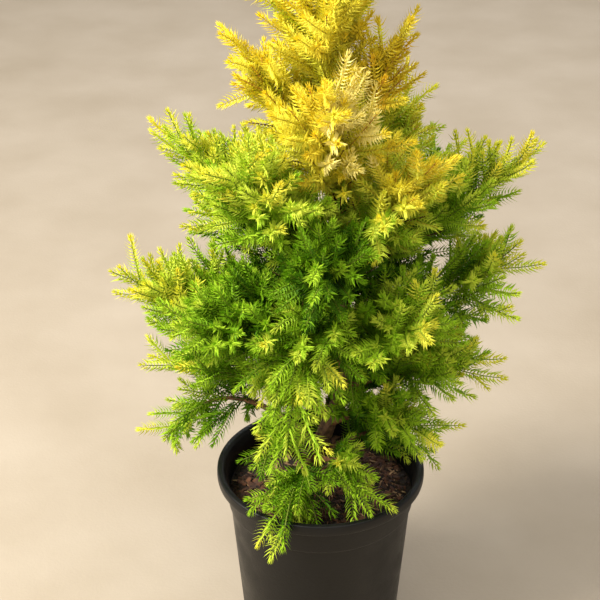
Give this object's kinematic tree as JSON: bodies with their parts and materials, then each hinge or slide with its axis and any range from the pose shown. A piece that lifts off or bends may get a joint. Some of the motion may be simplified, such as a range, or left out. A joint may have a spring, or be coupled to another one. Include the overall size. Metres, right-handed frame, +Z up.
{
  "type": "potted lemon cypress",
  "caption": "Young golden-needled conifer in a black plastic nursery pot filled with compost; one leaning trunk carries tapering boughs and masses of needle sprays.",
  "frame": {"origin": "centre of the pot's flat underside, on the surface that it stands on", "axes": "+Z up along the pot's axis, towards the crown's top; -Y towards the side that the picture shows; +X to its right"},
  "size_m": [0.2526, 0.203, 0.4875],
  "materials": {
    "pot": "satin",
    "compost": "matte",
    "bark": "matte",
    "needles": "matte"
  },
  "bodies": {
    "root": {"pot": "pot", "soil": "compost", "trunk": "bark", "bough_skirt_front": "bark", "bough_skirt_left": "bark", "bough_skirt_right": "bark", "bough_skirt_side": "bark", "bough_skirt_rear": "bark", "bough_low_left": "bark", "bough_low_side": "bark", "bough_low_right": "bark", "bough_low_rear_right": "bark", "bough_low_rear_left": "bark", "bough_weeping_front": "bark", "bough_middle_side": "bark", "bough_middle_left": "bark", "bough_middle_front_left": "bark", "bough_middle_front_right": "bark", "bough_middle_front": "bark", "bough_middle_right": "bark", "bough_middle_rear_right": "bark", "bough_middle_rear_left": "bark", "bough_upper_left": "bark", "bough_upper_front_left": "bark", "bough_upper_front_right": "bark", "bough_upper_right": "bark", "bough_upper_rear": "bark", "bough_top_left": "bark", "bough_top_right": "bark", "bough_top_front": "bark", "bough_top_rear": "bark", "skirt_front": "needles", "skirt_left": "needles", "skirt_right": "needles", "skirt_side": "needles", "skirt_rear": "needles", "low_left": "needles", "low_side": "needles", "low_right": "needles", "low_rear_right": "needles", "low_rear_left": "needles", "weeping_front": "needles", "middle_side": "needles", "middle_left": "needles", "middle_front_left": "needles", "middle_front_right": "needles", "middle_front": "needles", "middle_right": "needles", "middle_rear_right": "needles", "middle_rear_left": "needles", "upper_left": "needles", "upper_front_left": "needles", "upper_front_right": "needles", "upper_right": "needles", "upper_rear": "needles", "top_left": "needles", "top_right": "needles", "top_front": "needles", "top_rear": "needles", "leader": "needles"}
  },
  "joints": []
}
